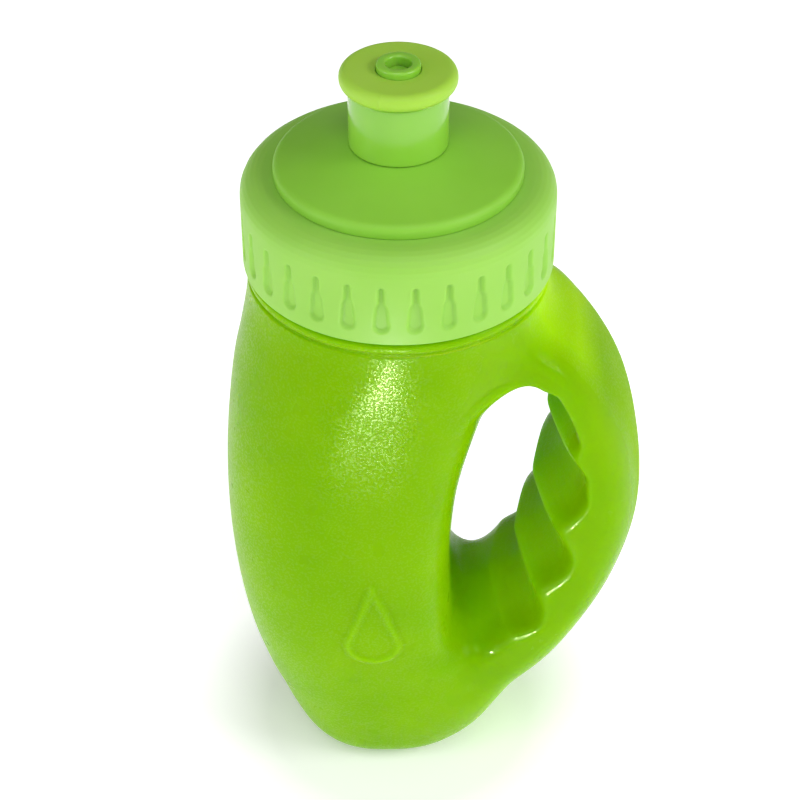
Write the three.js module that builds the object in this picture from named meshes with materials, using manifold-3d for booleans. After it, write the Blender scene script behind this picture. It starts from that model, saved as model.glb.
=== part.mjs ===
// Sports squeeze bottle: a blow-moulded body with a see-through hand grip, a wide screw cap,
// a conical disc pressed into the cap, and a push-pull spout. Millimetres, +Z up.
// The origin is where the axis of the neck meets the surface that the bottle stands on,
// and the hand grip is on the +X side.
import * as THREE from 'three';
import { mergeVertices } from 'three/addons/utils/BufferGeometryUtils.js';
import Module from 'manifold-3d';

const wasm = await Module();
wasm.setup();

// ---------------------------------------------------------------- driving dimensions
const rimHeight = 131; // the cap's lower edge above the floor
const wall = 1.6; // the body's wall
const gap = 0.3; // between pieces that touch on the real bottle

const threadPitch = 5;
const threadTurns = 1.25;
const threadRootWidth = 2.2;
const threadCrestWidth = 1.2;
const threadAxialPlay = 1.9; // from the middle of the bottle's thread down to the middle of the cap's

const neckRadius = 27.2;
const neckBore = 25.2;
const neckTop = rimHeight + 15.9;
const neckThreadRadius = 28.6;
const neckBeadRadius = 30.6;

const capRadius = 31.2;
const capBore = 29;
const capThreadRadius = 27.7;
const capLedgeHeight = 19.7; // above the rim
const capLedgeThickness = 2;
const capShoulderRadius = 4.8;
const capOpening = 22.3;
const grooveCount = 30;
const grooveDepth = 0.8;

const discRadius = 24.6;
const discEdge = 2.3;
const discRise = 3.5; // from the disc's edge to the foot of the spout
const stemRadius = 6.4;
const stemBore = 4.9;
const stemTop = 35.5; // above the rim
const pinRadius = 2.35;
const pinTop = 41.6;
const spokeCount = 3;

const barrelRadius = 9.75;
const barrelBottom = 26.1;
const barrelTop = 38.4;
const nozzleRadius = 4.3;
const nozzleBore = 2.75;
const nozzleTop = 43.5;
const lipRadius = 11.4;
const lipRounding = 1.7;

const segments = { body: 32, neck: 40, cap: 56, disc: 40, spout: 28, handle: 16 };

// Sections of the main body, from the floor up: height, left side, right side, half depth,
// and how square each side is (2 is an ellipse).
const bodySections = [
  { z: 0, left: -19.8, right: 11, depth: 17.5, leftPower: 2.3, rightPower: 2.8 },
  { z: 10, left: -24.8, right: 19.5, depth: 20.5, leftPower: 2.3, rightPower: 3.2 },
  { z: 19, left: -28.1, right: 20, depth: 22.5, leftPower: 2.3, rightPower: 3.8 },
  { z: 27, left: -30.8, right: 16.5, depth: 24, leftPower: 2.3, rightPower: 4.5 },
  { z: 39, left: -33.8, right: 12.5, depth: 26, leftPower: 2.3, rightPower: 5 },
  { z: 53, left: -35.9, right: 11.3, depth: 27.5, leftPower: 2.3, rightPower: 5 },
  { z: 69, left: -36.9, right: 11.3, depth: 28.5, leftPower: 2.3, rightPower: 5 },
  { z: 86, left: -36.5, right: 13.2, depth: 29, leftPower: 2.3, rightPower: 4.5 },
  { z: 103, left: -34.7, right: 18.3, depth: 29.5, leftPower: 2.2, rightPower: 3.4 },
  { z: 114, left: -32.5, right: 24, depth: 30, leftPower: 2.1, rightPower: 2.5 },
  { z: 122, left: -31, right: 28.3, depth: 30, leftPower: 2, rightPower: 2 },
  { z: 127, left: -30.4, right: 29.9, depth: 30, leftPower: 2, rightPower: 2 },
];
const bodyRings = 13;
const footRadius = 6;

// The hand grip follows these points from the shoulder down to the foot: its middle line,
// its width away from the gap and towards the gap, and its half depth.
const handleSections = [
  { x: 10, z: 118, outer: 5, inner: 5, depth: 12 },
  { x: 27, z: 115.5, outer: 5.2, inner: 6.5, depth: 19 },
  { x: 34.5, z: 108, outer: 6.4, inner: 7.5, depth: 20.5 },
  { x: 39.5, z: 94, outer: 9.5, inner: 8, depth: 21.5 },
  { x: 40.8, z: 76, outer: 11, inner: 11.2, depth: 21.5 },
  { x: 38.6, z: 60, outer: 9.9, inner: 11.7, depth: 21.5 },
  { x: 33.2, z: 45.5, outer: 8.4, inner: 11, depth: 21.5 },
  { x: 25.5, z: 34, outer: 9.4, inner: 10.5, depth: 20 },
  { x: 16, z: 25, outer: 10, inner: 12, depth: 18 },
  { x: 5, z: 21, outer: 7, inner: 12, depth: 15 },
];
const handleRings = 32;
const handlePower = 2.5;
const handleInnerPower = 5;
const mouldDraft = 0.2; // how fast the grip thins away from its middle plane, on the gap's side
// Finger rests: each ridge's distance along the grip's middle line, and each groove's depth.
const ridgeStations = [22, 42.5, 64, 84, 101];
const fingerDepths = [4.6, 4.8, 4.4, 3.4];
const ridgeWidth = 0.3; // how blunt a ridge is, as a share of a finger rest's width

// ---------------------------------------------------------------- solids
function solidOf(source) {
  let geometry = source.index ? source.toNonIndexed() : source.clone();
  geometry.deleteAttribute('normal');
  geometry.deleteAttribute('uv');
  geometry = mergeVertices(geometry);
  const vertProperties = Float32Array.from(geometry.attributes.position.array);
  const corners = Array.from(geometry.index.array);
  const kept = [];
  for (let i = 0; i < corners.length; i += 3) {
    const [a, b, c] = corners.slice(i, i + 3);
    if (a !== b && b !== c && c !== a) kept.push(a, b, c);
  }
  if (signedVolume(vertProperties, kept) < 0) kept.reverse();
  const triVerts = Uint32Array.from(kept);
  return new wasm.Manifold(new wasm.Mesh({ numProp: 3, vertProperties, triVerts }));
}

function signedVolume(points, corners) {
  const [a, b, c] = [new THREE.Vector3(), new THREE.Vector3(), new THREE.Vector3()];
  let sum = 0;
  for (let i = 0; i < corners.length; i += 3) {
    a.fromArray(points, 3 * corners[i]);
    b.fromArray(points, 3 * corners[i + 1]);
    c.fromArray(points, 3 * corners[i + 2]);
    sum += a.dot(b.cross(c)) / 6;
  }
  return sum;
}

function meshOf(name, solid, material) {
  const result = solid.getMesh();
  const geometry = new THREE.BufferGeometry();
  geometry.setAttribute('position', new THREE.BufferAttribute(result.vertProperties, 3));
  geometry.setIndex(new THREE.BufferAttribute(result.triVerts, 1));
  geometry.computeVertexNormals();
  const mesh = new THREE.Mesh(geometry, material);
  mesh.name = name;
  return mesh;
}

function union(solids) {
  return solids.reduce((joined, solid) => joined.add(solid));
}

// A ring or disc turned about the Z axis: profile points are [radius, height], and a profile
// that doesn't touch the axis closes on itself.
function turned(profile, count) {
  const points = profile.map(([radius, height]) => new THREE.Vector2(radius, height));
  if (points[0].x > 0) points.push(points[0].clone());
  return solidOf(new THREE.LatheGeometry(points, count).rotateX(Math.PI / 2));
}

// A closed skin through rings of equally many points, with a fan over each end.
function loft(rings) {
  const count = rings[0].length;
  const points = rings.flat();
  const middles = [rings[0], rings[rings.length - 1]].map(centreOf);
  const first = points.length;
  const corners = [];
  for (let ring = 0; ring + 1 < rings.length; ring += 1) {
    for (let i = 0; i < count; i += 1) {
      const a = ring * count + i;
      const b = ring * count + ((i + 1) % count);
      corners.push(a, b, b + count, a, b + count, a + count);
    }
  }
  for (let i = 0; i < count; i += 1) {
    const next = (i + 1) % count;
    const last = (rings.length - 1) * count;
    corners.push(next, i, first);
    corners.push(last + i, last + next, first + 1);
  }
  const geometry = new THREE.BufferGeometry().setFromPoints([...points, ...middles]);
  geometry.setIndex(corners);
  return solidOf(geometry);
}

function centreOf(ring) {
  const sum = new THREE.Vector3();
  for (const point of ring) sum.add(point);
  return sum.divideScalar(ring.length);
}

// A superellipse whose two halves can differ: forward is the half along the first axis.
function superPoint(angle, forward, backward, depth, forwardPower, backwardPower) {
  const c = Math.cos(angle);
  const s = Math.sin(angle);
  const power = c > 0 ? forwardPower : backwardPower;
  const reach = c > 0 ? forward : backward;
  const across = Math.sign(c) * reach * Math.abs(c) ** (2 / power);
  const side = Math.sign(s) * depth * Math.abs(s) ** (2 / power);
  return [across, side];
}

// A smooth curve through one value of every section.
function curveThrough(sections, keys) {
  return new THREE.CatmullRomCurve3(
    sections.map((section) => new THREE.Vector3(...keys.map((key) => section[key] ?? 0))),
    false, 'catmullrom', 0.5,
  );
}

// ---------------------------------------------------------------- bottle body
const bodySides = curveThrough(bodySections, ['left', 'right', 'z']);
const bodyShape = curveThrough(bodySections, ['depth', 'leftPower', 'rightPower']);

function bodyRing(t, inset, floor) {
  const { x: left, y: right, z } = bodySides.getPoint(t);
  const { x: depth, y: leftPower, z: rightPower } = bodyShape.getPoint(t);
  const height = Math.max(z, floor);
  const lift = Math.min(height - floor, footRadius);
  const tuck = footRadius - Math.sqrt(footRadius ** 2 - (footRadius - lift) ** 2);
  const half = (right - left) / 2 - inset - tuck;
  const middle = (right + left) / 2;
  const ring = [];
  for (let i = 0; i < segments.body; i += 1) {
    const angle = (2 * Math.PI * i) / segments.body;
    const [x, y] = superPoint(angle, half, half, depth - inset - tuck, rightPower, leftPower);
    ring.push(new THREE.Vector3(middle + x, y, height));
  }
  return ring;
}

function bodyLoft(inset, floor) {
  const foot = [0, 0.6, 2.2, footRadius].map((step) => bodyStation(floor + step));
  const count = inset > 0 ? Math.round(bodyRings * 0.7) : bodyRings;
  const rings = foot.map((t) => bodyRing(t, inset, floor));
  const start = foot[foot.length - 1];
  for (let i = 1; i <= count; i += 1) {
    rings.push(bodyRing(start + ((1 - start) * i) / count, inset, floor));
  }
  return loft(rings);
}

// The curve's parameter at a height, found by halving.
function bodyStation(height) {
  let [low, high] = [0, 1];
  for (let i = 0; i < 40; i += 1) {
    const middle = (low + high) / 2;
    if (bodySides.getPoint(middle).z < height) low = middle;
    else high = middle;
  }
  return (low + high) / 2;
}

const handleLine = curveThrough(handleSections, ['x', 'y', 'z']);
const handleSize = curveThrough(handleSections, ['outer', 'inner', 'depth']);

// How deep a finger groove is at a distance along the grip.
function fingerGroove(distance) {
  for (let i = 0; i < fingerDepths.length; i += 1) {
    const [from, to] = [ridgeStations[i], ridgeStations[i + 1]];
    if (distance > from && distance < to) {
      const phase = (distance - from) / (to - from);
      const across = Math.hypot(Math.sin(Math.PI * phase), ridgeWidth) - ridgeWidth;
      return (fingerDepths[i] * across) / (Math.hypot(1, ridgeWidth) - ridgeWidth);
    }
  }
  return 0;
}

function handleLoft(inset) {
  const rings = [];
  const steps = 400;
  const lengths = handleLine.getLengths(steps);
  const count = inset > 0 ? Math.round(handleRings * 0.6) : handleRings;
  for (let i = 0; i <= count; i += 1) {
    const t = i / count;
    const centre = handleLine.getPoint(t);
    const tangent = handleLine.getTangent(t);
    const outward = new THREE.Vector3(-tangent.z, 0, tangent.x);
    const { x: outer, y: inner, z: depth } = handleSize.getPoint(t);
    const station = lengths[Math.round(t * steps)];
    const towardsGap = inner - fingerGroove(station) - inset;
    const draft = mouldDraft * Math.min(station / 25, 1);
    const ring = [];
    for (let k = 0; k < segments.handle; k += 1) {
      const angle = (2 * Math.PI * k) / segments.handle;
      const [across, side] = superPoint(
        angle, outer - inset, towardsGap, depth - inset, handlePower, handleInnerPower,
      );
      const thinned = across < 0 ? Math.min(across + draft * Math.abs(side), 0) : across;
      const point = centre.clone().addScaledVector(outward, thinned);
      ring.push(point.setY(side));
    }
    rings.push(ring);
  }
  return loft(rings);
}

// A screw thread of trapezoid section on a cylinder: it stands out to the crest radius, and its
// depth fades in and out at its ends. start is the height of its middle at angle 0.
function thread(rootRadius, crestRadius, start, count) {
  const outward = Math.sign(crestRadius - rootRadius);
  const buried = rootRadius - outward * 0.5;
  const total = Math.round(threadTurns * count);
  const fade = 3;
  const rings = [];
  for (let i = 0; i <= total; i += 1) {
    const angle = (2 * Math.PI * i) / count;
    const middle = start + (threadPitch * i) / count;
    const depth = Math.min(1, (Math.min(i, total - i) + 0.3) / fade);
    const crest = rootRadius + (crestRadius - rootRadius) * depth;
    const section = [
      [buried, -threadRootWidth / 2],
      [rootRadius, -threadRootWidth / 2],
      [crest, -threadCrestWidth / 2],
      [crest, threadCrestWidth / 2],
      [rootRadius, threadRootWidth / 2],
      [buried, threadRootWidth / 2],
    ];
    rings.push(section.map(([radius, height]) => (
      new THREE.Vector3(radius * Math.cos(angle), radius * Math.sin(angle), middle + height)
    )));
  }
  return loft(rings);
}

function bottleBody() {
  const shoulder = bodySections[bodySections.length - 1].z;
  const neck = turned([
    [0, shoulder - 4],
    [29, shoulder - 4],
    [29.2, rimHeight - 3.3],
    [neckBeadRadius - 0.4, rimHeight - 2.8],
    [neckBeadRadius, rimHeight - 1.9],
    [neckBeadRadius - 0.4, rimHeight - 1],
    [29.2, rimHeight - 0.5],
    [neckRadius, rimHeight - 0.5],
    [neckRadius, neckTop],
    [0, neckTop],
  ], segments.neck);
  const bore = turned([
    [0, shoulder - 8],
    [neckBore, shoulder - 8],
    [neckBore, neckTop + 5],
    [0, neckTop + 5],
  ], segments.neck);
  const outside = union([
    bodyLoft(0, 0),
    handleLoft(0),
    neck,
    thread(neckRadius, neckThreadRadius, rimHeight + 6, segments.neck),
  ]);
  const hollowTop = turned([
    [0, shoulder - 10],
    [neckBore + 2.5, shoulder - 10],
    [neckBore + 2.5, shoulder - 1],
    [neckBore, rimHeight],
    [0, rimHeight],
  ], segments.neck);
  const underside = turned([
    [0, shoulder - 1],
    [60, shoulder - 1],
    [60, neckTop + 20],
    [0, neckTop + 20],
  ], 4);
  const inside = union([bodyLoft(wall, wall), handleLoft(wall)]).subtract(underside);
  return outside.subtract(union([inside, hollowTop, bore]));
}

// ---------------------------------------------------------------- cap
function capGroove(index) {
  const outline = new THREE.Shape();
  outline.absarc(0, rimHeight + 4.4, 1.35, Math.PI, 2 * Math.PI, false);
  outline.lineTo(1.1, rimHeight + 8);
  outline.absarc(0, rimHeight + 12.5, 0.5, 0, Math.PI, false);
  outline.lineTo(-1.1, rimHeight + 8);
  const cutter = new THREE.ExtrudeGeometry(outline, {
    depth: 3, bevelEnabled: false, curveSegments: 2,
  });
  const angle = -Math.PI / 2 + ((index + 0.5) * 2 * Math.PI) / grooveCount;
  const radial = new THREE.Vector3(Math.cos(angle), Math.sin(angle), 0);
  const along = new THREE.Vector3(-radial.y, radial.x, 0);
  const place = new THREE.Matrix4().makeBasis(along, new THREE.Vector3(0, 0, 1), radial);
  place.setPosition(radial.clone().multiplyScalar(capRadius - grooveDepth));
  return solidOf(cutter.applyMatrix4(place));
}

function screwCap() {
  const ledge = rimHeight + capLedgeHeight;
  const profile = [
    [capBore, rimHeight],
    [capRadius - 0.4, rimHeight],
    [capRadius, rimHeight + 0.4],
  ];
  const cornerSteps = 3;
  for (let i = 0; i <= cornerSteps; i += 1) {
    const angle = (Math.PI / 2) * (i / cornerSteps);
    profile.push([
      capRadius - capShoulderRadius * (1 - Math.cos(angle)),
      ledge - capShoulderRadius * (1 - Math.sin(angle)),
    ]);
  }
  profile.push(
    [capOpening, ledge],
    [capOpening, ledge - capLedgeThickness],
    [capBore, ledge - capLedgeThickness],
  );
  let cap = turned(profile, segments.cap);
  for (let i = 0; i < grooveCount; i += 1) cap = cap.subtract(capGroove(i));
  const start = rimHeight + 6 - threadAxialPlay;
  return cap.add(thread(capBore, capThreadRadius, start, segments.cap));
}

function neckSeal() {
  const bottom = neckTop + gap;
  const top = rimHeight + capLedgeHeight - capLedgeThickness - gap;
  return turned([
    [24.6, bottom],
    [28.4, bottom],
    [28.4, top],
    [24.6, top],
  ], segments.neck);
}

// The disc with its snap ring below, the spout's stem above, and the closing pin on spokes.
function capDisc() {
  const ledge = rimHeight + capLedgeHeight;
  const seat = ledge + gap;
  const edgeTop = seat + discEdge;
  const crown = edgeTop + discRise;
  const snap = ledge - capLedgeThickness - gap;
  const boss = capOpening - gap;
  const top = rimHeight + stemTop;
  const disc = turned([
    [20.4, snap - 0.8],
    [boss + 0.6, snap - 0.8],
    [boss + 0.6, snap - 0.4],
    [boss, snap],
    [boss, seat],
    [discRadius, seat],
    [discRadius, edgeTop - 1.5],
    [discRadius - 0.3, edgeTop - 0.7],
    [discRadius - 1.1, edgeTop - 0.1],
    [barrelRadius + 0.3, crown],
    [stemRadius, crown],
    [stemRadius, top - 1.5],
    [stemRadius + 0.7, top - 1.2],
    [stemRadius + 0.7, top - 0.3],
    [stemRadius + 0.2, top],
    [stemBore, top],
    [stemBore, crown - 2],
    [20.4, ledge + 1],
  ], segments.disc);
  const pin = turned([
    [0, top - 6],
    [pinRadius - 0.6, top - 6],
    [pinRadius, top - 5.4],
    [pinRadius, rimHeight + pinTop - 0.7],
    [pinRadius - 0.7, rimHeight + pinTop],
    [0, rimHeight + pinTop],
  ], segments.spout);
  const spokes = [];
  for (let i = 0; i < spokeCount; i += 1) {
    const spoke = new THREE.BoxGeometry(stemBore - 0.6, 1.4, 3);
    spoke.translate((stemBore - 0.6) / 2 + 1, 0, top - 3.5);
    spokes.push(solidOf(spoke.rotateZ((2 * Math.PI * i) / spokeCount)));
  }
  return union([disc, pin, ...spokes]);
}

// ---------------------------------------------------------------- push-pull spout
function spoutBarrel() {
  const bore = stemRadius + 1.1;
  const hook = stemRadius + 0.35;
  const ceiling = barrelTop - 1.4;
  const profile = [
    [hook, barrelBottom],
    [barrelRadius - 0.4, barrelBottom],
    [barrelRadius, barrelBottom + 0.6],
    [barrelRadius, barrelTop],
    [nozzleRadius, barrelTop],
    [nozzleRadius, barrelTop + 1.1],
    [nozzleRadius + 0.5, barrelTop + 1.3],
    [nozzleRadius + 0.5, barrelTop + 1.9],
    [nozzleRadius, barrelTop + 2.1],
    [nozzleRadius, nozzleTop - 0.4],
    [nozzleRadius - 0.4, nozzleTop],
    [nozzleBore + 0.4, nozzleTop],
    [nozzleBore, nozzleTop - 0.4],
    [nozzleBore, ceiling],
    [bore, ceiling],
    [bore, barrelBottom + 1.9],
    [hook, barrelBottom + 1.4],
  ];
  return turned(profile.map(([radius, height]) => [radius, rimHeight + height]), segments.spout);
}

function spoutTip() {
  const bore = nozzleRadius + gap;
  const bottom = barrelTop + gap;
  const middle = bottom + lipRounding;
  const roundSteps = 6;
  const profile = [[bore, bottom]];
  for (let i = 0; i <= roundSteps; i += 1) {
    const angle = Math.PI * (i / roundSteps - 0.5);
    profile.push([
      lipRadius - lipRounding + lipRounding * Math.cos(angle),
      middle + lipRounding * Math.sin(angle),
    ]);
  }
  profile.push(
    [8, bottom + 3.5],
    [6, bottom + 3.5],
    [bore, bottom + 3.4],
    [bore, bottom + 2.1],
    [bore + 0.5, bottom + 1.8],
    [bore + 0.5, bottom + 0.8],
    [bore, bottom + 0.5],
  );
  return turned(profile.map(([radius, height]) => [radius, rimHeight + height]), segments.spout);
}

// ---------------------------------------------------------------- materials and scene
function plastic(color, roughness) {
  return new THREE.MeshStandardMaterial({ color, roughness, metalness: 0 });
}

const clearGreen = plastic(0x86c000, 0.35);
const paleGreen = plastic(0xa0d862, 0.55);
const discGreen = plastic(0x8cc844, 0.45);
const barrelGreen = plastic(0x97d44d, 0.25);
const lipGreen = plastic(0xb0da5c, 0.6);
const sealGrey = plastic(0xdfe3dc, 0.7);

const bottle = new THREE.Group();
bottle.add(meshOf('bottle_body', bottleBody(), clearGreen));

const cap = new THREE.Group();
cap.add(meshOf('screw_cap', screwCap(), paleGreen));
cap.add(meshOf('cap_disc', capDisc(), discGreen));
cap.add(meshOf('neck_seal', neckSeal(), sealGrey));
bottle.add(cap);

const spout = new THREE.Group();
spout.add(meshOf('spout_barrel', spoutBarrel(), barrelGreen));
spout.add(meshOf('spout_tip', spoutTip(), lipGreen));
cap.add(spout);

export default bottle;
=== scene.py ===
"""Sports squeeze bottle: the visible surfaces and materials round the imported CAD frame.

Shapes are worked out in millimetres, in the frame's own axes, and mesh_object() turns them into
metres. The neck's axis is the Z axis, the floor is at 0, and the hand grip is on the +X side.
"""

import math

import bpy
import numpy as np
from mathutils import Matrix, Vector


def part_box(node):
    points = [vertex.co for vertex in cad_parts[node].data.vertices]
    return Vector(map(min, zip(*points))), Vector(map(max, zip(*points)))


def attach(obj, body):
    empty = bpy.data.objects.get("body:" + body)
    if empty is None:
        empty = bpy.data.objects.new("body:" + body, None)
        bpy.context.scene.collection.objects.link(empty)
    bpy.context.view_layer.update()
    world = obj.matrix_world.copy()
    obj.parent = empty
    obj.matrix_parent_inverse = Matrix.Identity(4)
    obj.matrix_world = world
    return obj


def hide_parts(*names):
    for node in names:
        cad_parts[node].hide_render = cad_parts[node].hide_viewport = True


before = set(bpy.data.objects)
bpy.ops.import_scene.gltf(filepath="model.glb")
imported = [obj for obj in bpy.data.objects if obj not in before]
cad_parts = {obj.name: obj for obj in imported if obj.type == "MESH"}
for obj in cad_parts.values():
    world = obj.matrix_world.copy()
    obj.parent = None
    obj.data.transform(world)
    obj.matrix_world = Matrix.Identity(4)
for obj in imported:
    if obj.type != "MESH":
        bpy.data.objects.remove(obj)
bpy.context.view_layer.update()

MM = 0.001


def node_box(name):
    """The lowest and highest corner of a CAD node, in millimetres."""
    low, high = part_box(name)
    return np.array(low) / MM, np.array(high) / MM


# ---------------------------------------------------------------- driving dimensions
BODY_LOW, BODY_HIGH = node_box("bottle_body")
CAP_LOW, CAP_HIGH = node_box("screw_cap")
DISC_LOW, DISC_HIGH = node_box("cap_disc")
SEAL_LOW, SEAL_HIGH = node_box("neck_seal")
BARREL_LOW, BARREL_HIGH = node_box("spout_barrel")
TIP_LOW, TIP_HIGH = node_box("spout_tip")

RIM = CAP_LOW[2]
LEDGE = CAP_HIGH[2]
CAP_RADIUS = CAP_HIGH[0]
NECK_TOP = BODY_HIGH[2]
NECK_RADIUS = 27.2
NECK_BORE = 25.2
NECK_ROUNDING = 0.4
BEAD_RADIUS = 30.6
BEAD_ROUNDING = 0.8
SHOULDER_RADIUS = 30.05
CREASE_RADIUS = 29.9
CREASE_HEIGHT = RIM - 3.6
WALL = 1.6

THREAD_PITCH = 5.0
THREAD_TURNS = 1.25
THREAD_ROOT = 2.2
THREAD_CREST = 1.2
NECK_THREAD_DEPTH = 1.4
CAP_THREAD_DEPTH = 1.3
NECK_THREAD_START = RIM + 6
CAP_THREAD_START = RIM + 4.1

# The main body from the floor up: height, left side, right side, half depth, and how square
# each side is (2 is an ellipse).
SECTIONS = [
    (0, -19.8, 11, 17.5, 2.3, 2.8),
    (10, -24.8, 19.5, 20.5, 2.3, 3.2),
    (19, -28.1, 20, 22.5, 2.3, 3.8),
    (27, -30.8, 16.5, 24, 2.3, 4.5),
    (39, -33.8, 12.5, 26, 2.3, 5),
    (53, -35.9, 11.3, 27.5, 2.3, 5),
    (69, -36.9, 11.3, 28.5, 2.3, 5),
    (86, -36.5, 13.2, 29, 2.3, 4.5),
    (103, -34.7, 18.3, 29.5, 2.2, 3.4),
    (114, -32.5, 24, 30, 2.1, 2.5),
    (122, -31, 28.3, 30, 2, 2),
    (128, -30.4, 30, 30, 2, 2),
    (134, -30.1, 30.1, 30, 2, 2),
]
FOOT_BLEND = 8.0

# The hand grip from the shoulder down to the foot: its middle line (x, z), its thickness away
# from the gap and towards the gap, and its half depth.
GRIP = [
    (10, 118, 5, 5, 12),
    (27, 115.5, 5.2, 6.5, 19),
    (34.5, 108, 6.4, 7.5, 20.5),
    (39.5, 94, 9.5, 8, 21.5),
    (40.8, 76, 11, 11.2, 21.5),
    (38.6, 60, 9.9, 11.7, 21.5),
    (33.2, 45.5, 8.4, 11, 21.5),
    (25.5, 34, 9.4, 10.5, 20),
    (16, 25, 10, 12, 18),
    (5, 21, 7, 12, 15),
]
GRIP_BLEND = 11.0
GRIP_POWER_INSIDE = 5.5
GRIP_POWER_OUTSIDE = 2.5
# Finger rests: each ridge's distance along the grip's middle line, and the depths between them.
RIDGES = [22, 42.5, 64, 84, 101]
FINGER_DEPTHS = [4.6, 4.8, 4.4, 3.4]
RIDGE_WIDTH = 0.3
LEAST_THICKNESS = 2
# Past the first stretch of the grip, its inner side slopes away from the middle, where it is round.
MOULD_DRAFT = 0.2
DRAFT_STRETCH = 25
MIDDLE_ROUNDING = 2

# The raised drop on the front of the body: the middle of its round end, the radius of each end
# and the length between them, its height, the width of its outline and of the outline's slopes,
# and how much of its height is taken away inside the outline.
DROP_X = -5.5
DROP_Z = 47
DROP_SHAPE = (6.2, 0.6, 18)
DROP_HEIGHT = 0.55
DROP_LINE = 1.5
DROP_SLOPE = 0.9
DROP_HOLLOW = 0.75


# ---------------------------------------------------------------- curves and smooth steps
def smooth_rows(rows, steps):
    """A Catmull-Rom curve through the rows, as an array."""
    rows = np.array(rows, float)
    ends = np.vstack([2 * rows[0] - rows[1], rows, 2 * rows[-1] - rows[-2]])
    t = np.linspace(0, 1, steps, endpoint=False)[:, None]
    parts = []
    for i in range(len(rows) - 1):
        a, b, c, d = ends[i : i + 4]
        parts.append(
            0.5 * (2 * b + (c - a) * t + (2 * a - 5 * b + 4 * c - d) * t**2
                   + (3 * b - a - 3 * c + d) * t**3)
        )
    return np.vstack([*parts, rows[-1:]])


def smooth_step(value):
    t = np.clip(value, 0, 1)
    return t * t * (3 - 2 * t)


def smooth_min(a, b, width):
    h = np.clip(0.5 + 0.5 * (b - a) / width, 0, 1)
    return b * (1 - h) + a * h - width * h * (1 - h)


def smooth_max(a, b, width):
    return -smooth_min(-a, -b, width)


def oval(across, side, half_width, half_depth, power):
    """Distance from a superellipse, exact enough near its outline."""
    u = np.abs(across) / half_width + 1e-9
    v = np.abs(side) / half_depth + 1e-9
    q = (u**power + v**power) ** (1 / power)
    slope = np.hypot(u ** (power - 1) / half_width, v ** (power - 1) / half_depth)
    return (q - 1) / (slope * q ** (1 - power))


def drop_distance(u, v, wide, narrow, length):
    """Distance from a drop: a circle of radius wide at the origin, tapering to one of radius
    narrow at (0, length)."""
    u = np.abs(u)
    sine = (wide - narrow) / length
    cosine = math.sqrt(1 - sine * sine)
    k = cosine * v - sine * u
    low = np.hypot(u, v) - wide
    high = np.hypot(u, v - length) - narrow
    side = u * cosine + v * sine - wide
    return np.where(k < 0, low, np.where(k > cosine * length, high, side))


# ---------------------------------------------------------------- the body as a distance field
BODY_CURVE = smooth_rows(SECTIONS, 24)
GRIP_CURVE = smooth_rows(GRIP, 12)
GRIP_STATION = np.concatenate([
    [0], np.cumsum(np.hypot(*np.diff(GRIP_CURVE[:, :2], axis=0).T)),
])


def body_distance(x, y, z):
    left, right, depth, left_power, right_power = (
        np.interp(z, BODY_CURVE[:, 0], BODY_CURVE[:, k]) for k in range(1, 6)
    )
    middle = (left + right) / 2
    power = np.where(x > middle, right_power, left_power)
    return oval(x - middle, y, (right - left) / 2, depth, power)


def nearest_on_grip(x, z):
    """Signed distance from the grip's middle line, and the place on it as a row number."""
    curve = GRIP_CURVE[:, :2]
    nearest = np.concatenate([
        np.argmin(((part[:, None] - curve[None]) ** 2).sum(2), 1)
        for part in np.array_split(np.stack([x, z], 1), len(x) // 50000 + 1)
    ])
    best = np.full(len(x), np.inf)
    signed = np.zeros(len(x))
    place = np.zeros(len(x))
    for before in (1, 0):
        start = np.clip(nearest - before, 0, len(curve) - 2)
        ax, az = curve[start].T
        dx, dz = (curve[start + 1] - curve[start]).T
        t = np.clip(((x - ax) * dx + (z - az) * dz) / (dx * dx + dz * dz), 0, 1)
        apart = np.hypot(x - ax - t * dx, z - az - t * dz)
        closer = apart < best
        sign = np.sign(dx * (z - az) - dz * (x - ax))
        signed = np.where(closer, apart * sign, signed)
        place = np.where(closer, start + t, place)
        best = np.where(closer, apart, best)
    return signed, place


def finger_groove(station):
    """How deep the finger rests are at a distance along the grip: round hollows that meet in
    narrow ridges."""
    phase = np.interp(station, RIDGES, np.arange(len(RIDGES)))
    across = np.hypot(np.sin(np.pi * phase), RIDGE_WIDTH) - RIDGE_WIDTH
    share = across / (math.hypot(1, RIDGE_WIDTH) - RIDGE_WIDTH)
    depth = np.interp(phase, np.arange(len(FINGER_DEPTHS)) + 0.5, FINGER_DEPTHS)
    inside = (station > RIDGES[0]) & (station < RIDGES[-1])
    return np.where(inside, depth * share, 0)


def grip_distance(x, y, z):
    signed, place = nearest_on_grip(x, z)
    rows = np.arange(len(GRIP_CURVE))
    outer, inner, depth = (np.interp(place, rows, GRIP_CURVE[:, k]) for k in (2, 3, 4))
    station = np.interp(place, rows, GRIP_STATION)
    draft = MOULD_DRAFT * np.clip(station / DRAFT_STRETCH, 0, 1)
    aside = np.sqrt(y * y + MIDDLE_ROUNDING**2) - MIDDLE_ROUNDING
    inner = np.maximum(inner - finger_groove(station) - draft * aside, LEAST_THICKNESS)
    to_gap = signed < 0
    power = np.where(to_gap, GRIP_POWER_INSIDE, GRIP_POWER_OUTSIDE)
    return oval(signed, y, np.where(to_gap, inner, outer), depth, power)


def drop_relief(x, y, z):
    """How far the drop on the front stands out."""
    d = drop_distance(x - DROP_X, z - DROP_Z, *DROP_SHAPE)
    edge = smooth_step(0.5 - d / DROP_SLOPE)
    hollow = smooth_step(0.5 - (d + DROP_LINE) / DROP_SLOPE)
    return np.where(y < 0, DROP_HEIGHT * (edge - DROP_HOLLOW * hollow), 0)


def plain_skin(x, y, z):
    """Distance from the body and grip without the drop, negative inside."""
    d = smooth_min(body_distance(x, y, z), grip_distance(x, y, z), GRIP_BLEND)
    return smooth_max(d, -z, FOOT_BLEND)


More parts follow.
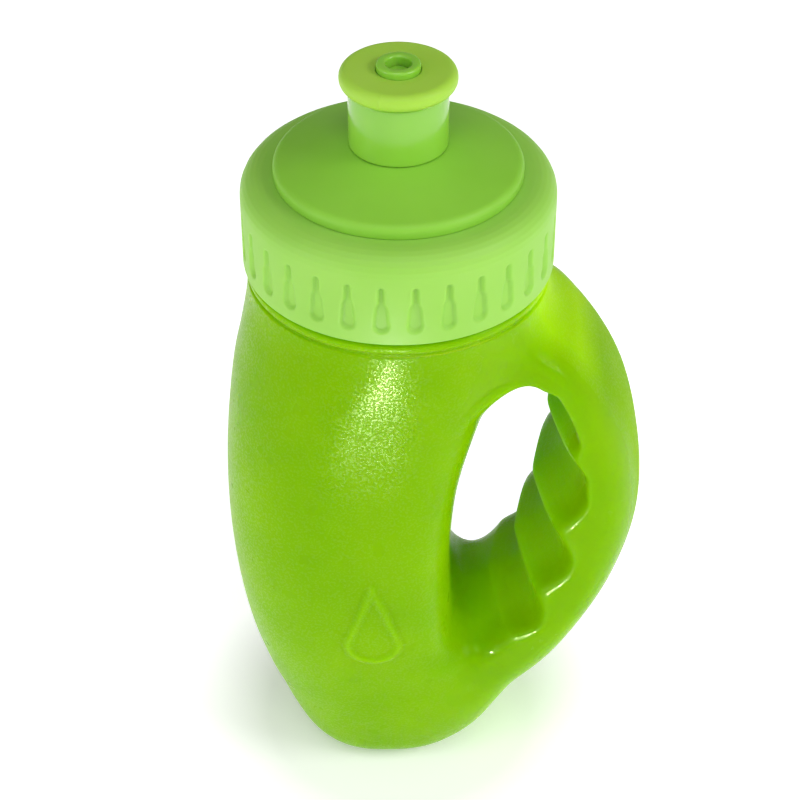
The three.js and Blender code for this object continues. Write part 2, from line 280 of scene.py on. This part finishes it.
def skin(points):
    """Distance from the outside of the body, negative inside."""
    return plain_skin(*points.T) - drop_relief(*points.T)


def cavity(points):
    """Distance from the hollow inside, negative in the hollow."""
    return plain_skin(*points.T) + WALL


# ---------------------------------------------------------------- meshes from a field
FIELD_STEP = 1.25
INSIDE_STEP = 2.0
SLOPE_STEP = 0.05
LEAST_SLOPE = 0.05
MARGIN = 2.0


def sample(field, low, high, step):
    axes = [np.arange(a, b + step / 2, step) for a, b in zip(low, high)]
    grid = np.stack(np.meshgrid(*axes, indexing="ij"), -1)
    return field(grid.reshape(-1, 3)).reshape(grid.shape[:3])


def surface_net(values, low, step):
    """Quads round the field's zero surface, one point in each cell that it passes through."""
    inside = values < 0
    size = np.array(values.shape) - 1
    corners = np.array([(i, j, k) for i in (0, 1) for j in (0, 1) for k in (0, 1)])
    cells = np.stack([
        values[i : size[0] + i, j : size[1] + j, k : size[2] + k] for i, j, k in corners
    ])
    filled = (cells < 0).sum(0)
    crossed = (filled > 0) & (filled < 8)
    where = np.argwhere(crossed)
    number = np.full(crossed.shape, -1)
    number[tuple(where.T)] = np.arange(len(where))
    at = cells[:, crossed].T
    total = np.zeros((len(where), 3))
    count = np.zeros((len(where), 1))
    for a in range(8):
        for b in range(a + 1, 8):
            if np.abs(corners[a] - corners[b]).sum() != 1:
                continue
            cut = (at[:, a] < 0) != (at[:, b] < 0)
            t = np.where(cut, at[:, a] / np.where(cut, at[:, a] - at[:, b], 1), 0)[:, None]
            total += cut[:, None] * (corners[a] + t * (corners[b] - corners[a]))
            count += cut[:, None]
    points = (where + total / count) * step + np.array(low)
    quads = []
    for axis in range(3):
        first = inside.take(range(size[axis]), axis)
        second = inside.take(range(1, size[axis] + 1), axis)
        edges = np.argwhere(first != second)
        u, v = [(1, 2), (2, 0), (0, 1)][axis]
        ok = (edges[:, u] > 0) & (edges[:, v] > 0) & (edges[:, u] < size[u])
        edges = edges[ok & (edges[:, v] < size[v])]
        ring = []
        for du, dv in ((1, 1), (0, 1), (0, 0), (1, 0)):
            cell = edges.copy()
            cell[:, u] -= du
            cell[:, v] -= dv
            ring.append(number[tuple(cell.T)])
        ring = np.stack(ring, 1)
        flip = ~first[tuple(edges.T)]
        ring[flip] = ring[flip][:, ::-1]
        quads.append(ring)
    return points, np.vstack(quads)


def split_quads(points, quads):
    """Each quad cut into four."""
    edges = np.sort(np.stack([quads, np.roll(quads, -1, 1)], 2).reshape(-1, 2), 1)
    unique, inverse = np.unique(edges, axis=0, return_inverse=True)
    edge = len(points) + inverse.reshape(-1, 4)
    centre = len(points) + len(unique) + np.arange(len(quads))
    faces = [
        np.stack([quads[:, k], edge[:, k], centre, edge[:, k - 1]], 1) for k in range(4)
    ]
    added = [points[unique].mean(1), points[quads].mean(1)]
    return np.vstack([points, *added]), np.vstack(faces)


def gradient(field, points, free):
    """The field's slope at the points, along the axes that are free to move."""
    columns = []
    for axis in range(3):
        offset = np.zeros(3)
        offset[axis] = SLOPE_STEP
        columns.append((field(points + offset) - field(points - offset)) / (2 * SLOPE_STEP))
    return np.stack(columns, 1) * free


def onto_surface(field, points, free=(1, 1, 1), rounds=3):
    """The points moved along the field's slope until they lie on its zero surface."""
    for _ in range(rounds):
        slope = gradient(field, points, np.array(free))
        reach = np.maximum((slope**2).sum(1), LEAST_SLOPE)
        points = points - (field(points) / reach)[:, None] * slope
    return points


def evened(points, quads, rounds=2):
    """Each point moved halfway towards the middle of its neighbours."""
    pairs = np.vstack([quads[:, [k, (k + 1) % 4]] for k in range(4)])
    for _ in range(rounds):
        total = np.zeros_like(points)
        count = np.zeros(len(points))
        np.add.at(total, pairs[:, 0], points[pairs[:, 1]])
        np.add.at(total, pairs[:, 1], points[pairs[:, 0]])
        np.add.at(count, pairs.ravel(), 1)
        points = (points + total / count[:, None]) / 2
    return points


def open_edge(quads):
    """The points of the mesh's open edge."""
    pairs = np.sort(np.vstack([quads[:, [k, (k + 1) % 4]] for k in range(4)]), 1)
    unique, count = np.unique(pairs, axis=0, return_counts=True)
    return np.unique(unique[count == 1])


def field_mesh(field, low, top, step):
    """The field's surface up to the height top, where it is open, with its edge points."""
    high = np.array([BODY_HIGH[0] + 1.5 * MARGIN, -low[1], top + step / 2])
    low = np.array([low[0], low[1], high[2] - step * math.ceil((high[2] - low[2]) / step)])
    points, quads = surface_net(sample(field, low, high, step), low, step)
    edge = open_edge(quads)
    points = onto_surface(field, evened(points, quads), rounds=2)
    points[edge, 2] = top
    points, quads = split_quads(points, quads)
    edge = open_edge(quads)
    points = onto_surface(field, points)
    points[edge, 2] = top
    points[edge] = onto_surface(field, points[edge], free=(1, 1, 0))
    return points, quads, edge


def zipped(points, lower, upper):
    """Triangles that join two rings round the Z axis, with their outer side up and out."""
    rings = []
    for ring in (lower, upper):
        angle = np.arctan2(points[ring, 1], points[ring, 0])
        order = np.argsort(angle)
        rings.append((np.array(ring)[order], angle[order]))
    (low, low_angle), (high, high_angle) = rings
    faces = []
    i, j = 0, 0
    while i < len(low) or j < len(high):
        next_low = low_angle[i + 1] if i + 1 < len(low) else low_angle[0] + 2 * np.pi
        next_high = high_angle[j + 1] if j + 1 < len(high) else high_angle[0] + 2 * np.pi
        here = (low[i % len(low)], high[j % len(high)])
        if j >= len(high) or (i < len(low) and next_low <= next_high):
            faces.append((here[0], low[(i + 1) % len(low)], here[1]))
            i += 1
        else:
            faces.append((here[0], high[(j + 1) % len(high)], here[1]))
            j += 1
    return faces


# ---------------------------------------------------------------- turned shapes
def rounded(corners, closed=True, spacing=0.8):
    """A profile of (radius, height) through corners of (radius, height, rounding): each corner
    is an arc, and the straights have a point at least every spacing."""
    rows = np.array(corners, float)
    points = []
    for i, (r, z, rounding) in enumerate(rows):
        here = np.array([r, z])
        if rounding <= 0 or (not closed and i in (0, len(rows) - 1)):
            points.append(here)
            continue
        before = rows[i - 1, :2] - here
        after = rows[(i + 1) % len(rows), :2] - here
        reach = [np.linalg.norm(before), np.linalg.norm(after)]
        before, after = before / reach[0], after / reach[1]
        half = math.acos(max(-1, min(1, before @ after))) / 2
        length = min(rounding / math.tan(half), 0.49 * min(reach))
        radius = length * math.tan(half)
        centre = here + (before + after) / np.linalg.norm(before + after) * radius / math.sin(half)
        start = here + before * length - centre
        end = here + after * length - centre
        turn = math.atan2(start[0] * end[1] - start[1] * end[0], start @ end)
        steps = max(2, math.ceil(abs(turn) / math.radians(15)))
        for k in range(steps + 1):
            a = turn * k / steps
            c, s = math.cos(a), math.sin(a)
            points.append(centre + [c * start[0] - s * start[1], s * start[0] + c * start[1]])
    if closed:
        points.append(points[0])
    dense = [points[0]]
    for a, b in zip(points, points[1:]):
        pieces = max(1, math.ceil(np.linalg.norm(b - a) / spacing))
        dense += [a + (b - a) * k / pieces for k in range(1, pieces + 1)]
    return np.array(dense[:-1] if closed else dense)


def turned(profile, columns, shaped=None, closed=True):
    """Points and quads of a profile turned round the Z axis. shaped(radius, height, angle) gives
    new radii and heights."""
    angle = 2 * np.pi * np.arange(columns) / columns
    r, a = np.meshgrid(profile[:, 0], angle, indexing="ij")
    z = np.repeat(profile[:, 1:], columns, 1)
    if shaped:
        r, z = shaped(r, z, a)
    points = np.stack([r * np.cos(a), r * np.sin(a), z], -1).reshape(-1, 3)
    rows = len(profile)
    quads = []
    for i in range(rows if closed else rows - 1):
        a, b = i * columns, ((i + 1) % rows) * columns
        k = np.arange(columns)
        n = (k + 1) % columns
        quads.append(np.stack([a + k, a + n, b + n, b + k], 1))
    return points, np.vstack(quads)


def thread_height(height, angle, start):
    """The screw thread's share of its full depth, from 0 to 1, at a height and angle."""
    full = 2 * np.pi * THREAD_TURNS
    fade = math.radians(27)
    depth = np.zeros_like(height)
    for turn in (0, 1):
        along = np.mod(angle, 2 * np.pi) + 2 * np.pi * turn
        off = np.abs(height - start - THREAD_PITCH * along / (2 * np.pi))
        flank = (THREAD_ROOT - THREAD_CREST) / 2
        side = smooth_step((THREAD_ROOT / 2 - off) / flank)
        ends = smooth_step(np.minimum(along, full - along) / fade)
        depth = np.maximum(depth, side * ends)
    return depth


# ---------------------------------------------------------------- materials
class Nodes:
    """Short calls for building a material's nodes."""

    def __init__(self, name):
        self.material = bpy.data.materials.new(name)
        self.material.use_nodes = True
        self.tree = self.material.node_tree
        self.shader = self.tree.nodes["Principled BSDF"]
        self.place = self.add("ShaderNodeTexCoord").outputs["Object"]

    def add(self, kind, **values):
        node = self.tree.nodes.new(kind)
        for key, value in values.items():
            setattr(node, key, value)
        return node

    def link(self, source, target):
        self.tree.links.new(source, target)

    def noise(self, size, detail=2.0, rough=0.5):
        """Noise with features of about size millimetres."""
        node = self.add("ShaderNodeTexNoise")
        node.inputs["Scale"].default_value = 1 / (size * MM)
        node.inputs["Detail"].default_value = detail
        node.inputs["Roughness"].default_value = rough
        self.link(self.place, node.inputs["Vector"])
        return node.outputs["Fac"]

    def ramp(self, factor, *stops):
        node = self.add("ShaderNodeValToRGB")
        elements = node.color_ramp.elements
        while len(elements) < len(stops):
            elements.new(0.5)
        for element, (position, colour) in zip(elements, stops):
            element.position = position
            element.color = (*linear(colour), 1)
        self.link(factor, node.inputs["Fac"])
        return node.outputs["Color"]

    def between(self, value, low, high, new_low, new_high):
        """The value carried over from low..high to new_low..new_high."""
        node = self.add("ShaderNodeMapRange")
        for key, number in (
            ("From Min", low), ("From Max", high), ("To Min", new_low), ("To Max", new_high),
        ):
            node.inputs[key].default_value = number
        self.link(value, node.inputs["Value"])
        return node.outputs["Result"]

    def maths(self, operation, *values):
        node = self.add("ShaderNodeMath", operation=operation)
        for value, socket in zip(values, node.inputs):
            self.link(value, socket)
        return node.outputs["Value"]

    def bump(self, height, depth, under=None):
        """A bump of depth millimetres, on top of the bump under it."""
        node = self.add("ShaderNodeBump")
        node.inputs["Strength"].default_value = 1
        node.inputs["Distance"].default_value = depth * MM
        self.link(height, node.inputs["Height"])
        if under:
            self.link(under, node.inputs["Normal"])
        return node.outputs["Normal"]

    def set(self, **values):
        """Values on the shader's own sockets, with _ for each space in a socket's name."""
        for key, value in values.items():
            self.shader.inputs[key.replace("_", " ")].default_value = value


def linear(colour):
    """Scene-linear values of an sRGB colour given from 0 to 255."""
    part = [c / 255 for c in colour]
    return [c / 12.92 if c <= 0.04045 else ((c + 0.055) / 1.055) ** 2.4 for c in part]


# The grip's finger rests, in metres: from the body to the grip and through it along X, and from
# the finger rests to the grip's smooth sides along Y.
GRIP_START = (0.010, 0.018)
GRIP_INSIDE = (0.037, 0.042)
GRIP_SIDE = (0.012, 0.017)
RESTS_SIDE = (0.012, 0.019)
# Painted light: how much the finger rests' colour is brightened, standing in for light in the
# hollows.
REST_PAINTED_LIGHT = 1.55


def grip_finish(n, colour, worn, grains, gloss):
    """The colour, roughness and grain of the body, changed on the grip. The gloss is speckled
    all over, the grip's sides are polished, and its finger rests are rough, with painted light
    that brightens their colour."""
    split = n.add("ShaderNodeSeparateXYZ")
    n.link(n.place, split.inputs["Vector"])
    aside = n.maths("ABSOLUTE", split.outputs["Y"])
    on_grip = n.between(split.outputs["X"], *GRIP_START, 0, 1)
    inside = n.between(split.outputs["X"], *GRIP_INSIDE, 1, 0)
    rests = n.maths("MULTIPLY", n.between(aside, *RESTS_SIDE, 1, 0), on_grip)
    # Painted light: the colour in the finger rests is brightened.
    rest_painted_light = n.add("ShaderNodeHueSaturation")
    value = n.between(n.maths("MULTIPLY", rests, inside), 0, 1, 1, REST_PAINTED_LIGHT)
    n.link(colour, rest_painted_light.inputs["Color"])
    n.link(value, rest_painted_light.inputs["Value"])
    polish = n.between(aside, *GRIP_SIDE, 0.3, -0.06)
    worn = n.maths("ADD", worn, n.maths("MULTIPLY", polish, on_grip))
    grains = n.maths("MULTIPLY", grains, n.between(on_grip, 0, 1, 1, 0.12))
    speckle = n.between(n.noise(0.5, detail=1), 0.5, 0.62, 0.3 * gloss, 2.2 * gloss)
    n.link(speckle, n.shader.inputs["Specular IOR Level"])
    return rest_painted_light.outputs["Color"], worn, grains


def plastic(name, deep, bright, roughness, grain, grain_depth, glow, glow_scale, gloss=0.5,
            sheen=(255, 255, 255), grip=False):
    """Moulded plastic: cloudy colour from deep to bright, a fine surface grain of grain
    millimetres, and light that spreads glow_scale millimetres under the surface. grip gives it
    the bottle's grip."""
    n = Nodes(name)
    colour = n.ramp(n.noise(22, detail=3), (0.3, deep), (0.7, bright))
    worn = n.between(n.noise(6, detail=4), 0.3, 0.7, roughness - 0.04, roughness + 0.04)
    grains = n.noise(grain, detail=3, rough=0.6)
    if grip:
        colour, worn, grains = grip_finish(n, colour, worn, grains, gloss)
    else:
        n.set(Specular_IOR_Level=gloss)
    n.link(colour, n.shader.inputs["Base Color"])
    n.link(worn, n.shader.inputs["Roughness"])
    fine = n.bump(grains, grain_depth)
    waves = n.bump(n.noise(14, detail=1), 0.05, under=fine)
    n.link(waves, n.shader.inputs["Normal"])
    n.set(
        Subsurface_Weight=glow,
        Subsurface_Scale=glow_scale * MM,
        Subsurface_Radius=(0.6, 1.0, 0.1),
        Specular_Tint=(*linear(sheen), 1),
        IOR=1.5,
    )
    return n.material


BODY_PLASTIC = plastic(
    "clear_green", deep=(119, 176, 0), bright=(130, 185, 0), roughness=0.3, grain=0.5,
    grain_depth=0.045, glow=0.85, glow_scale=7, gloss=0.1, sheen=(230, 255, 170), grip=True,
)
CAP_PLASTIC = plastic(
    "pale_green", deep=(148, 205, 78), bright=(155, 210, 86), roughness=0.5, grain=0.35,
    grain_depth=0.02, glow=0.25, glow_scale=2, gloss=0.3,
)
DISC_PLASTIC = plastic(
    "disc_green", deep=(136, 199, 58), bright=(143, 205, 66), roughness=0.48, grain=0.35,
    grain_depth=0.015, glow=0.25, glow_scale=2, gloss=0.3,
)
BARREL_PLASTIC = plastic(
    "barrel_green", deep=(138, 200, 58), bright=(145, 206, 66), roughness=0.14, grain=0.6,
    grain_depth=0.004, glow=0.4, glow_scale=3, gloss=0.6,
)
LIP_RUBBER = plastic(
    "lip_green", deep=(163, 210, 66), bright=(171, 216, 76), roughness=0.5, grain=0.3,
    grain_depth=0.02, glow=0.35, glow_scale=2, gloss=0.3,
)
SEAL_RUBBER = plastic(
    "seal_grey", deep=(218, 222, 215), bright=(228, 231, 225), roughness=0.65, grain=0.5,
    grain_depth=0.02, glow=0.2, glow_scale=1,
)


def mesh_object(name, points, faces, material, node, body):
    """A smooth mesh, of points in millimetres and groups of faces, that stands for a CAD node
    and rides on its body."""
    mesh = bpy.data.meshes.new(name)
    flat = [tuple(int(i) for i in face) for group in faces for face in group]
    mesh.from_pydata((np.asarray(points) * MM).tolist(), [], flat)
    mesh.validate()
    mesh.shade_smooth()
    mesh.materials.append(material)
    piece = bpy.data.objects.new(name, mesh)
    bpy.context.scene.collection.objects.link(piece)
    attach(piece, body)
    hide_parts(node)
    return piece


# ---------------------------------------------------------------- the bottle
def neck_profile(inside_top):
    """The neck's section from the shoulder, over the bead and the neck's top, to the inside."""
    bead_top = RIM - 0.25
    return rounded([
        (SHOULDER_RADIUS, CREASE_HEIGHT, 0),
        (CREASE_RADIUS, RIM - 3, 0.6),
        (BEAD_RADIUS, RIM - 2.2, BEAD_ROUNDING),
        (BEAD_RADIUS, RIM - 1, BEAD_ROUNDING),
        (29.4, bead_top, 0.3),
        (NECK_RADIUS, bead_top, NECK_ROUNDING),
        (NECK_RADIUS, NECK_TOP, NECK_ROUNDING),
        (NECK_BORE, NECK_TOP, NECK_ROUNDING),
        (NECK_BORE, RIM - 2, 2),
        (NECK_BORE + 2.2, inside_top, 0),
    ], closed=False, spacing=0.4)


def with_neck_thread(r, z, a):
    on_thread = (np.abs(r - NECK_RADIUS) < 0.01) & (z > RIM)
    thread = thread_height(z, a, NECK_THREAD_START) * NECK_THREAD_DEPTH
    return r + np.where(on_thread, thread, 0), z


def bottle():
    """The body outside and inside, each a field's surface, with the turned neck between them."""
    low = np.array([BODY_LOW[0] - MARGIN, BODY_LOW[1] - MARGIN, -MARGIN])
    inside_top = RIM - 7
    columns = 288
    outer, outer_quads, outer_edge = field_mesh(skin, low, CREASE_HEIGHT, FIELD_STEP)
    inner, inner_quads, inner_edge = field_mesh(cavity, low, inside_top, INSIDE_STEP)
    profile = neck_profile(inside_top)
    neck, neck_quads = turned(profile, columns, with_neck_thread, closed=False)
    points = np.vstack([outer, neck, inner])
    neck_start = len(outer)
    inner_start = len(outer) + len(neck)
    first_ring = neck_start + np.arange(columns)
    last_ring = inner_start - columns + np.arange(columns)
    faces = [
        outer_quads,
        np.array(zipped(points, outer_edge, first_ring)),
        neck_quads + neck_start,
        np.array(zipped(points, inner_edge + inner_start, last_ring))[:, ::-1],
        inner_quads[:, ::-1] + inner_start,
    ]
    return mesh_object("squeeze_body", points, faces, BODY_PLASTIC, "bottle_body", "bottle")


# ---------------------------------------------------------------- the cap
CAP_BORE = 29
CAP_OPENING = 22.3
CAP_ROUNDING = 4.6
CAP_ROOF = 2
GROOVE_COUNT = 30
GROOVE_DEPTH = 0.8
GROOVE_SLOPE = 0.6
GROOVE_LOW = RIM + 4.4
GROOVE_COLUMNS = 22
# Each groove is two drops, of a lower radius, an upper radius and the length between them.
GROOVE_FOOT = (1.4, 1.05, 3.9)
GROOVE_SLOT = (0.56, 0.5, 8.1)


def screw_cap():
    """The cap's skirt and ledge, with grooves outside and a thread inside."""
    profile = rounded([
        (CAP_BORE, RIM, 0.3),
        (CAP_RADIUS, RIM, 0.5),
        (CAP_RADIUS, LEDGE, CAP_ROUNDING),
        (CAP_OPENING, LEDGE, 0.3),
        (CAP_OPENING, LEDGE - CAP_ROOF, 0.3),
        (CAP_BORE, LEDGE - CAP_ROOF, 0.5),
    ], spacing=0.3)

    def shaped(r, z, a):
        pitch = 2 * np.pi / GROOVE_COUNT
        turn = np.mod((a + np.pi / 2) / pitch, 1) - 0.5
        across = turn * pitch * CAP_RADIUS
        foot = drop_distance(across, z - GROOVE_LOW, *GROOVE_FOOT)
        slot = drop_distance(across, z - GROOVE_LOW, *GROOVE_SLOT)
        groove = GROOVE_DEPTH * smooth_step(0.5 - smooth_min(foot, slot, 0.5) / GROOVE_SLOPE)
        wall = (r > CAP_RADIUS - 1.5) & (z < LEDGE - 3)
        inside = np.abs(r - CAP_BORE) < 0.01
        thread = CAP_THREAD_DEPTH * thread_height(z, a, CAP_THREAD_START)
        return r - np.where(wall, groove, 0) - np.where(inside, thread, 0), z

    points, quads = turned(profile, GROOVE_COUNT * GROOVE_COLUMNS, shaped)
    return mesh_object("fluted_cap", points, [quads], CAP_PLASTIC, "screw_cap", "cap")


def spoke(angle, inner, outer, low, high, half=0.7):
    """A bar from the pin to the stem's wall."""
    corners = np.array([
        (r, side, z) for r in (inner, outer) for side in (-half, half) for z in (low, high)
    ])
    c, s = math.cos(angle), math.sin(angle)
    turn = np.array([[c, s, 0], [-s, c, 0], [0, 0, 1]])
    quads = np.array([
        (0, 1, 3, 2), (4, 6, 7, 5), (0, 4, 5, 1), (2, 3, 7, 6), (0, 2, 6, 4), (1, 5, 7, 3),
    ])
    return corners @ turn, quads


DISC_UNDERSIDE = 20.4
PLUG_RADIUS = 22
SNAP_RADIUS = 22.6
STEM_RADIUS = 6.4
STEM_BORE = 4.9
STEM_TOP = RIM + 35.5
STEM_RIM = 0.7
PIN_RADIUS = 2.3
SPOKE_COUNT = 3


def cap_disc():
    """The conical disc with its snap ring and stem, and the closing pin on its spokes."""
    low = DISC_LOW[2]
    seat = LEDGE + 0.02
    edge = LEDGE + 2.6
    crown = BARREL_LOW[2] - 0.05
    foot = BARREL_HIGH[0] + 0.1
    profile = rounded([
        (DISC_UNDERSIDE, low, 0.2),
        (SNAP_RADIUS, low, 0.2),
        (SNAP_RADIUS, low + 0.5, 0.2),
        (PLUG_RADIUS, low + 1, 0.2),
        (PLUG_RADIUS, seat, 0.2),
        (DISC_HIGH[0], seat, 0.25),
        (DISC_HIGH[0], edge, 1.9),
        (foot, crown, 0.9),
        (STEM_RADIUS, crown, 0.4),
        (STEM_RADIUS, STEM_TOP - 1.5, 0.3),
        (STEM_RADIUS + STEM_RIM, STEM_TOP - 1.2, 0.2),
        (STEM_RADIUS + STEM_RIM, STEM_TOP, 0.3),
        (STEM_BORE, STEM_TOP, 0.3),
        (STEM_BORE, crown - 2, 1),
        (DISC_UNDERSIDE, LEDGE + 1, 1),
    ], spacing=0.7)
    pin = rounded([
        (0.02, STEM_TOP - 6, 0),
        (PIN_RADIUS, STEM_TOP - 6, 0.5),
        (PIN_RADIUS, DISC_HIGH[2], 0.6),
        (0.02, DISC_HIGH[2], 0),
    ], spacing=0.5)
    solids = [turned(profile, 224), turned(pin, 64)]
    for i in range(SPOKE_COUNT):
        turn = 2 * math.pi * i / SPOKE_COUNT
        solids.append(spoke(turn, PIN_RADIUS - 0.2, STEM_BORE + 0.2, STEM_TOP - 5, STEM_TOP - 2))
    faces = []
    start = 0
    for points, quads in solids:
        faces.append(quads + start)
        start += len(points)
    points = np.vstack([points for points, _ in solids])
    return mesh_object(
        "press_in_disc", points, faces, DISC_PLASTIC, "cap_disc", "cap",
    )


def neck_seal():
    low, high = SEAL_LOW[2], SEAL_HIGH[2]
    inner, outer = 24.6, SEAL_HIGH[0]
    profile = rounded([
        (inner, low, 0.3),
        (outer, low, 0.3),
        (outer, high, 0.3),
        (inner, high, 0.3),
    ], spacing=0.5)
    points, quads = turned(profile, 192)
    return mesh_object("seal_ring", points, [quads], SEAL_RUBBER, "neck_seal", "seal")


# ---------------------------------------------------------------- the spout
NOZZLE_RADIUS = 4.3
NOZZLE_HOLE = 2.5
NOZZLE_HOOK = 0.5
BARREL_BORE = 7.5
BARREL_HOOK = 6.75
SEAM_ANGLE = math.radians(-108)
SEAM_HEIGHT = 0.1
SEAM_WIDTH = 0.25
SEAM_START = 9


def spout_barrel():
    """The barrel with its hook round the stem, and the nozzle tube with its ring."""
    low, top = BARREL_LOW[2], BARREL_HIGH[2]
    radius = BARREL_HIGH[0]
    deck = RIM + 38.4
    under_deck = deck - 1.4
    profile = rounded([
        (BARREL_HOOK, low, 0.2),
        (radius, low, 0.5),
        (radius, deck, 0.4),
        (NOZZLE_RADIUS, deck, 0.2),
        (NOZZLE_RADIUS, deck + 1.1, 0.1),
        (NOZZLE_RADIUS + NOZZLE_HOOK, deck + 1.3, 0.1),
        (NOZZLE_RADIUS + NOZZLE_HOOK, deck + 1.9, 0.1),
        (NOZZLE_RADIUS, deck + 2.1, 0.1),
        (NOZZLE_RADIUS, top, 0.5),
        (NOZZLE_HOLE, top, 0.5),
        (NOZZLE_HOLE, under_deck, 0.3),
        (BARREL_BORE, under_deck, 0.4),
        (BARREL_BORE, low + 1.9, 0.2),
        (BARREL_HOOK, low + 1.4, 0.2),
    ], spacing=0.5)
    points, quads = turned(profile, 192)
    return mesh_object(
        "pull_barrel", points, [quads], BARREL_PLASTIC, "spout_barrel", "spout",
    )


def spout_tip():
    """The soft lip round the nozzle tube, with a mould seam down its rim."""
    low, high = TIP_LOW[2], TIP_HIGH[2]
    radius = TIP_HIGH[0]
    bore = NOZZLE_RADIUS + 0.06
    profile = rounded([
        (bore, low, 0.2),
        (radius, low, 1.6),
        (radius, high, 1.6),
        (8, high + 0.05, 1.5),
        (6, high + 0.05, 1.5),
        (bore, high - 0.1, 0.3),
        (bore, low + 2.1, 0.1),
        (bore + NOZZLE_HOOK, low + 1.8, 0.1),
        (bore + NOZZLE_HOOK, low + 0.8, 0.1),
        (bore, low + 0.5, 0.1),
    ], spacing=0.25)

    def with_seam(r, z, a):
        off = (np.mod(a - SEAM_ANGLE + np.pi, 2 * np.pi) - np.pi) * r
        seam = SEAM_HEIGHT * np.exp(-((off / SEAM_WIDTH) ** 2))
        return r + np.where(r > SEAM_START, seam, 0), z

    points, quads = turned(profile, 384, with_seam)
    return mesh_object("soft_lip", points, [quads], LIP_RUBBER, "spout_tip", "spout")


# ---------------------------------------------------------------- stage, light and camera
FLOOR_HALF = 8.0
# The floor glows, less so under the bottle, which paints a soft shadow round its foot: how
# strongly near and far, and between which distances from the middle, in metres.
FLOOR_GLOW_AND_PAINTED_SHADOW = (0.22, 0.62)
PAINTED_SHADOW_PLACE = (0.031, 0.05)


def floor():
    mesh = bpy.data.meshes.new("floor")
    half = FLOOR_HALF
    corners = [(-half, -half, 0), (half, -half, 0), (half, half, 0), (-half, half, 0)]
    mesh.from_pydata(corners, [], [(0, 1, 2, 3)])
    n = Nodes("floor_white")
    colour = n.ramp(n.noise(300), (0.3, (246, 246, 246)), (0.7, (250, 250, 250)))
    distance = n.add("ShaderNodeVectorMath", operation="LENGTH")
    n.link(n.place, distance.inputs[0])
    # Painted shadow: the floor's glow is weaker close to the bottle's foot.
    glow = n.between(distance.outputs["Value"], *PAINTED_SHADOW_PLACE, *FLOOR_GLOW_AND_PAINTED_SHADOW)
    n.link(colour, n.shader.inputs["Base Color"])
    n.link(glow, n.shader.inputs["Emission Strength"])
    n.set(Roughness=0.9, Specular_IOR_Level=0.05, Emission_Color=(1, 1, 1, 1))
    mesh.materials.append(n.material)
    plane = bpy.data.objects.new("floor", mesh)
    bpy.context.scene.collection.objects.link(plane)


BOTTLE_MIDDLE = (0, 0, 0.09)
WIDE = 180
NARROW = 90
# Each lamp's name, place, size, power, what it points at, and its spread in degrees. A lamp with
# less than a NARROW spread shows in the gloss only.
LAMPS = [
    ("key", (0.68, -0.30, 0.58), 0.4, 2.9, BOTTLE_MIDDLE, WIDE),
    ("fill", (-0.75, -0.32, 0.26), 0.35, 1.2, BOTTLE_MIDDLE, WIDE),
    ("front", (-0.05, -0.50, 0.92), 0.5, 2.1, BOTTLE_MIDDLE, WIDE),
    ("sparkle", (-0.01, -0.19, 0.012), 0.02, 0.0065, (-0.003, -0.03, 0.112), 12),
    ("glint", (-0.14, -0.21, 0.045), 0.02, 0.045, (0.031, -0.019, 0.068), 16),
]


def softbox(name, place, size, power, target, spread):
    light = bpy.data.lights.new(name, "AREA")
    light.spread = math.radians(spread)
    light.shape = "DISK"
    light.size = size
    light.energy = power
    lamp = bpy.data.objects.new(name, light)
    lamp.location = place
    lamp.rotation_mode = "QUATERNION"
    lamp.rotation_quaternion = (Vector(place) - Vector(target)).to_track_quat("Z", "Y")
    lamp.visible_diffuse = spread > NARROW
    bpy.context.scene.collection.objects.link(lamp)


SKY_LOW = 0.68
SKY_HIGH = 0.42
SKY_BEHIND = 0.3


def sky():
    """Light from all round, brightest in front and low down, and dim above and behind."""
    world = bpy.data.worlds.new("studio")
    bpy.context.scene.world = world
    world.use_nodes = True
    tree = world.node_tree
    place = tree.nodes.new("ShaderNodeTexCoord")
    split = tree.nodes.new("ShaderNodeSeparateXYZ")
    tree.links.new(place.outputs["Generated"], split.inputs["Vector"])
    both = tree.nodes.new("ShaderNodeMath")
    both.operation = "MULTIPLY"
    shades = (("Z", 0.05, 0.8, SKY_LOW, SKY_HIGH), ("Y", -0.4, 0.5, 1.0, SKY_BEHIND))
    for factor, (axis, low, high, near, far) in zip(both.inputs, shades):
        shade = tree.nodes.new("ShaderNodeMapRange")
        shade.inputs["From Min"].default_value = low
        shade.inputs["From Max"].default_value = high
        shade.inputs["To Min"].default_value = near
        shade.inputs["To Max"].default_value = far
        tree.links.new(split.outputs[axis], shade.inputs["Value"])
        tree.links.new(shade.outputs["Result"], factor)
    background = tree.nodes["Background"]
    background.inputs["Color"].default_value = (1, 1, 1, 1)
    tree.links.new(both.outputs["Value"], background.inputs["Strength"])


CAMERA_ELEVATION = math.radians(38.58)
CAMERA_DISTANCE = 0.450
CAMERA_TARGET = (0.0003, 0, 0.0931)
CAMERA_SENSOR = 36
CAMERA_LENS = 95.4


def camera():
    data = bpy.data.cameras.new("camera")
    data.sensor_width = CAMERA_SENSOR
    data.lens = CAMERA_LENS
    view = bpy.data.objects.new("camera", data)
    back = Vector((0, -math.cos(CAMERA_ELEVATION), math.sin(CAMERA_ELEVATION)))
    view.location = Vector(CAMERA_TARGET) + back * CAMERA_DISTANCE
    view.rotation_euler = (math.pi / 2 - CAMERA_ELEVATION, 0, 0)
    bpy.context.scene.collection.objects.link(view)
    bpy.context.scene.camera = view
    bpy.context.scene.view_settings.view_transform = "Standard"


bottle()
screw_cap()
cap_disc()
neck_seal()
spout_barrel()
spout_tip()
floor()
sky()
for lamp in LAMPS:
    softbox(*lamp)
camera()
